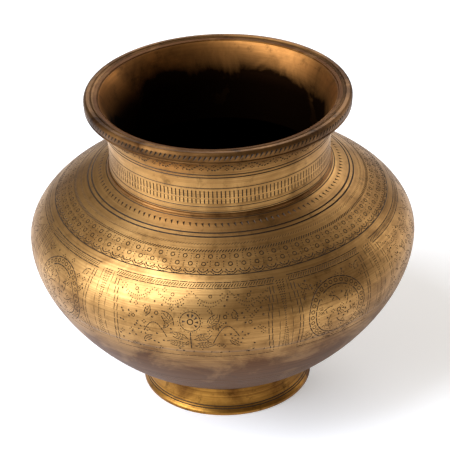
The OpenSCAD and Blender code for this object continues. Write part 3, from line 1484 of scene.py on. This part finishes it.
def body_chasing(form: PotForm) -> Chaser:
    """Lays out the body's pattern, which comes out the same each time.

    Args:
        form: Sizes of the pot.

    Returns:
        The chaser with every mark.
    """
    curve = form.body_curve()
    chaser = Chaser(curve, curve.length)
    BodyPattern(form).draw(chaser)
    return chaser


@dataclass
class NeckCollar(Piece):
    """The spool-shaped neck with its flared mouth."""

    cad_node: str = "neck_collar"

    def section(self) -> Section:
        """Draws the piece.

        Returns:
            Its outline: the tail, the chased outside, the lip inside the rim band, and the throat.
        """
        f = self.form
        curve = f.neck_curve()
        throat_r = f.neck_r - f.neck_wall
        mouth = (f.lip_r - 2.2 * MM, f.rim_z - 1.1 * MM)
        throat_z = f.shoulder_z + f.neck_tail - MM + f.throat_len
        made = Section()
        tail_z = f.shoulder_z - f.neck_tail
        made.add((throat_r, tail_z), (f.neck_r, tail_z), sharp=True)
        upper = curve.at_height(f.band_z - 9.0 * MM)
        lines = [Line(upper, 0.6 * MM, 0.3 * MM), Line(upper - 1.6 * MM, 0.6 * MM, 0.3 * MM)]
        for up in (1.5, 4.0, 13.0):
            lines.append(Line(curve.at_height(f.shoulder_z + up * MM), 0.4 * MM, 0.16 * MM))
        made.run(curve, 0, curve.length, MM, lines)
        made.add((f.lip_r, f.rim_z - 0.5 * MM), sharp=True)
        for dr, dz in ((0.75, 0.3), (0.4, -0.1), (0.05, 0.0)):
            made.add((mouth[0] + dr * MM, mouth[1] + dz * MM), sharp=True)
        made.turn_inside()
        pull = (mouth[0] - 2.2 * MM, mouth[1] - 2.4 * MM)
        for i in range(1, 31):
            made.add(cubic(mouth, pull, (throat_r, throat_z + 5 * MM), (throat_r, throat_z), i / 30))
        return made

    def chasing(self) -> Chaser:
        """The neck's pattern."""
        curve = self.form.neck_curve()
        chaser = Chaser(curve, curve.length)
        NeckPattern(self.form).draw(chaser)
        return chaser


@dataclass
class RimBand(Piece):
    """The band round the mouth, with a cable of slanting notches."""

    cad_node: str = "rim_band"
    slot: str = "rim_brass"

    def outside(self) -> Curve:
        """The band's outer face, rising from its bead to its crest."""
        f = self.form
        return Curve(
            [(f.rim_r, f.band_z + 1.45 * MM), (f.rim_r + 0.12 * MM, f.band_z + 2.2 * MM),
             (f.rim_r + 0.17 * MM, f.band_z + 3 * MM), (f.rim_r + 0.17 * MM, f.rim_z - 1.5 * MM),
             (f.rim_r - 0.05 * MM, f.rim_z - 0.9 * MM), (f.rim_r - 0.45 * MM, f.rim_z - 0.4 * MM),
             (f.rim_r - 0.95 * MM, f.rim_z - 0.08 * MM)]
        )

    def section(self) -> Section:
        """Draws the piece.

        Returns:
            Its outline: flat below, the bead, the face, the crest with one groove, and the seat.
        """
        f = self.form
        bead = 0.62 * MM
        at = (f.rim_r - bead, f.band_z + bead)
        made = Section().add((f.lip_r + 0.02 * MM, f.band_z), sharp=True)
        for i in range(13):
            a = math.radians(-90 + 150 * i / 12)
            made.add((at[0] + bead * math.cos(a), at[1] + bead * math.sin(a)), sharp=i == 12)
        face = self.outside()
        made.run(face, 0, face.length, 0.5 * MM)
        crest = f.rim_r - MM
        made.add((crest - 0.1 * MM, f.rim_z - 0.01 * MM), (crest - 1.5 * MM, f.rim_z - 0.01 * MM), sharp=True)
        made.add((crest - 1.95 * MM, f.rim_z - 0.42 * MM), (crest - 2.4 * MM, f.rim_z - 0.1 * MM), sharp=True)
        made.add((f.lip_r + 0.02 * MM, f.rim_z - 0.45 * MM), sharp=True)
        return made

    def finish(self) -> bpy.types.Material:
        """Rim brass."""
        return self.finishes.rim

    def chasing(self) -> Chaser:
        """Slanting notches round the face."""
        curve = self.outside()
        chaser = Chaser(curve, curve.length)
        chaser.ring_of(Row(Tool.WEDGE, 2.15, 2.9, 1.25, 0.55, 56), curve.length - 1.6 * MM)
        return chaser


@dataclass
class Braze(Piece):
    """A joint of spelter between two pieces."""

    slot: str = "braze"

    def finish(self) -> bpy.types.Material:
        """Spelter."""
        return self.finishes.braze


@dataclass
class BellyBraze(Braze):
    """The fine line of spelter round the belly."""

    cad_node: str = "belly_braze"

    def section(self) -> Section:
        """Draws the piece.

        Returns:
            Its outline: flush outside, pointed inside.
        """
        f = self.form
        curve = f.body_curve()
        seam = curve.at_height(f.body(f.seam)[1])
        made = Section()
        for k in (-1, 0, 1):
            made.add(curve.at(seam + k * f.braze * 0.98), sharp=k != 0)
        return made.add(curve.below(seam, f.wall / 2 - 0.02 * MM), sharp=True)

    def finish(self) -> bpy.types.Material:
        """The body's own finish, because this spelter was filed and polished with it."""
        return self.finishes.body


@dataclass
class NeckBraze(Braze):
    """The bead of spelter round the foot of the neck."""

    cad_node: str = "neck_braze"

    def section(self) -> Section:
        """Draws the piece.

        Returns:
            Its outline: a bead in the corner.
        """
        f = self.form
        r = 0.9 * MM
        made = Section()
        made.add((f.neck_r, f.shoulder_z), sharp=True)
        for i in range(9):
            a = math.radians(-24 + 114 * i / 8)
            made.add((f.neck_r + r * math.cos(a), f.shoulder_z + r * math.sin(a)), sharp=i in (0, 8))
        return made


@dataclass
class FootBraze(Braze):
    """The fillet of spelter between foot and bowl."""

    cad_node: str = "foot_braze"

    def section(self) -> Section:
        """Draws the piece.

        Returns:
            Its outline: a hollow fillet in the corner.
        """
        f = self.form
        r, z = f.waist_r + 0.6 * MM, f.bowl_z - 0.4 * MM
        made = Section().add((r - 0.3 * MM, z - 1.3 * MM), sharp=True)
        made.add((r, z - 1.1 * MM), sharp=True)
        made.add((r + 0.3 * MM, z - 0.3 * MM), (r + 1.0 * MM, z + 0.22 * MM))
        made.add((r + 2.0 * MM, z + 0.5 * MM), sharp=True)
        return made.add((r + 0.9 * MM, z + 0.55 * MM), (r - 0.3 * MM, z + 0.2 * MM), sharp=True)


@dataclass
class RimBraze(Braze):
    """The fillet of spelter under the rim band."""

    cad_node: str = "rim_braze"

    def section(self) -> Section:
        """Draws the piece.

        Returns:
            Its outline: a sliver between the flare of the neck and the band.
        """
        f = self.form
        curve = f.neck_curve()
        low = curve.at_height(f.band_z - 1.1 * MM)
        made = Section().add(curve.at(low), sharp=True)
        made.add((f.lip_r + 0.2 * MM, f.band_z - 0.5 * MM))
        made.add((f.lip_r + 1.4 * MM, f.band_z - 0.02 * MM), (f.lip_r - 0.3 * MM, f.band_z), sharp=True)
        return made


# --------------------------------------------------------------------------
# The studio


@dataclass(frozen=True)
class Soft:
    """One soft light."""

    name: str
    place: tuple[float, float, float]
    size: tuple[float, float]
    power: float
    colour: str = "#ffffff"

    def build(self, aim: Vector) -> None:
        """Adds the light.

        Args:
            aim: Point it faces.
        """
        light = bpy.data.lights.new(self.name, "AREA")
        light.shape = "RECTANGLE"
        light.size, light.size_y = self.size
        light.energy = self.power
        light.color = linear(self.colour)[:3]
        made = bpy.data.objects.new(self.name, light)
        made.location = self.place
        made.rotation_euler = (aim - Vector(self.place)).to_track_quat("-Z", "Y").to_euler()
        bpy.context.scene.collection.objects.link(made)


@dataclass(frozen=True)
class Studio:
    """Pale floor, soft lights and the camera."""

    form: PotForm
    distance: float = 0.991
    elevation: float = 30.44
    roll: float = 2.01
    pan: float = 0.0675  # degrees that the camera turns off the pot's middle
    tilt: float = 0.2381
    lens: float = 176.0
    floor_half: float = 2.5
    glow: float = 0.34  # light that the floor gives off by itself
    sky: str = "#ffecd4"
    sky_strength: float = 0.2

    def floor(self) -> None:
        """Adds the floor, a sheet of pale paper that gives off a little light of its own."""
        mesh = bpy.data.meshes.new("floor")
        half = self.floor_half
        corners = [(-half, -half, 0), (half, -half, 0), (half, half, 0), (-half, half, 0)]
        mesh.from_pydata(corners, [], [[0, 1, 2, 3]])
        made = bpy.data.objects.new("floor", mesh)
        bpy.context.scene.collection.objects.link(made)
        paper = bpy.data.materials.new("floor_paper")
        paper.use_nodes = True
        shader = paper.node_tree.nodes["Principled BSDF"]
        shader.inputs["Base Color"].default_value = linear("#f0f0f0")
        shader.inputs["Roughness"].default_value = 0.9
        shader.inputs["Emission Color"].default_value = linear("#ffffff")
        shader.inputs["Emission Strength"].default_value = self.glow
        mesh.materials.append(paper)

    def lights(self) -> None:
        """Adds the lights and a dim, warm sky."""
        aim = Vector((0, 0, 0.08))
        for soft in (
            Soft("key", (-0.80, -0.42, 0.78), (0.8, 1.4), 35.0, "#e9f1ff"),
            Soft("back", (0.3, 1.1, 0.9), (1.2, 0.5), 9.0),
            Soft("side", (1.1, 0.5, 0.4), (0.4, 0.7), 2.5),
        ):
            soft.build(aim)
        world = bpy.data.worlds.new("studio")
        bpy.context.scene.world = world
        world.use_nodes = True
        background = world.node_tree.nodes["Background"]
        background.inputs["Color"].default_value = linear(self.sky)
        background.inputs["Strength"].default_value = self.sky_strength

    def camera(self) -> None:
        """Adds the camera above and in front of the pot."""
        data = bpy.data.cameras.new("camera")
        data.lens = self.lens
        data.sensor_width = 36.0
        data.clip_start, data.clip_end = 0.05, 20.0
        made = bpy.data.objects.new("camera", data)
        bpy.context.scene.collection.objects.link(made)
        up = math.radians(self.elevation)
        back = Vector((0, -math.cos(up), math.sin(up)))
        made.location = Vector((0, 0, self.form.rim_z / 2)) + back * self.distance
        turn = (-back).to_track_quat("-Z", "Y")
        for axis, angle in (((0, 1, 0), -self.pan), ((1, 0, 0), self.tilt), ((0, 0, 1), -self.roll)):
            turn = turn @ Quaternion(axis, math.radians(angle))
        made.rotation_mode = "QUATERNION"
        made.rotation_quaternion = turn
        bpy.context.scene.camera = made

    def build(self) -> None:
        """Sets up the whole studio."""
        self.floor()
        self.lights()
        self.camera()
        settings = bpy.context.scene.view_settings
        settings.view_transform = "Standard"


def make_finishes(form: PotForm) -> Finishes:
    """Builds the materials.

    Args:
        form: Sizes of the pot.

    Returns:
        The finishes.
    """
    # Patina stays in the chased bands, where a polishing cloth doesn't reach. The body is also darker just
    # under the rim band, and the heavy darkening low on the bowl, which faces the floor, is painted shade.
    body_patina_and_shade = (
        (0, 0.2), (18, 1.0), (40, 0.9), (56, 0.7), (68, 0.3), (92, 0.1), (97, 0.2), (104, 0.16),
        (106, 0.1), (112, 0.15), (118, 0.0), (133, 0.15), (139, 0.9),
    )
    # Painted shade inside the pot: near black deep in the body, fading to little near the mouth.
    throat_painted_shade = ((0, 1.0), (100, 1.0), (124, 0.97), (130, 0.8), (136, 0.35), (145, 0.1))
    finishes = {
        # Raised and turned brass, polished by hand: warm gold where it is rubbed, brown elsewhere.
        "body": BrassFinish(
            "aged_brass_body", "#cda062", "#5e3913", "#34200c", 0.36, 0.5, 0.5, levels=body_patina_and_shade
        ),
        # Cast brass that hands take hold of and polish misses: dull and dark.
        "rim": BrassFinish("aged_brass_rim", "#7c5831", "#38210e", "#1e1106", 0.4, 0.8, 0.3, 0.1),
        # Cast and turned brass, kept bright by standing and rubbing: deeper yellow and shinier.
        "foot": BrassFinish("polished_brass_foot", "#c08c40", "#66401a", "#3a220c", 0.3, 0.8, 0.7, 0.1),
        # Brass spelter left as it flowed: dark, dull and a little lumpy.
        "braze": BrassFinish("brazing_spelter", "#93683a", "#3f240d", "#241407", 0.42, 0.7, 0.1, 0.4),
        # The inside was never polished and holds some oxide, but below the flare it is painted almost black:
        # painted shade that deepens down the throat.
        "inside": BrassFinish(
            "oxidised_brass_inside", "#a8713a", "#160a03", "#1c0d05", 0.42, 0.5, 0.2, levels=throat_painted_shade
        ),
    }
    made = {place: finish.build(form) for place, finish in finishes.items()}
    return Finishes(tarnish=patina_material(), **made)


def main() -> None:
    """Builds the pot piece by piece, then the studio."""
    logging.basicConfig(level=logging.INFO, format="%(name)s: %(message)s")
    form = PotForm.from_frame()
    finishes = make_finishes(form)
    tools = {tool: ToolShape().build(tool) for tool in Tool}
    workshop = Workshop(chasing_tree(), tools, finishes.tarnish)
    for kind in (
        FootRing, FootBraze, BowlShell, BellyBraze, ShoulderShell, NeckBraze, NeckCollar, RimBraze, RimBand
    ):
        kind(form, finishes, workshop).build()
    for shape in tools.values():
        bpy.data.objects.remove(shape)
    Studio(form).build()


if __name__ == "__main__":
    main()
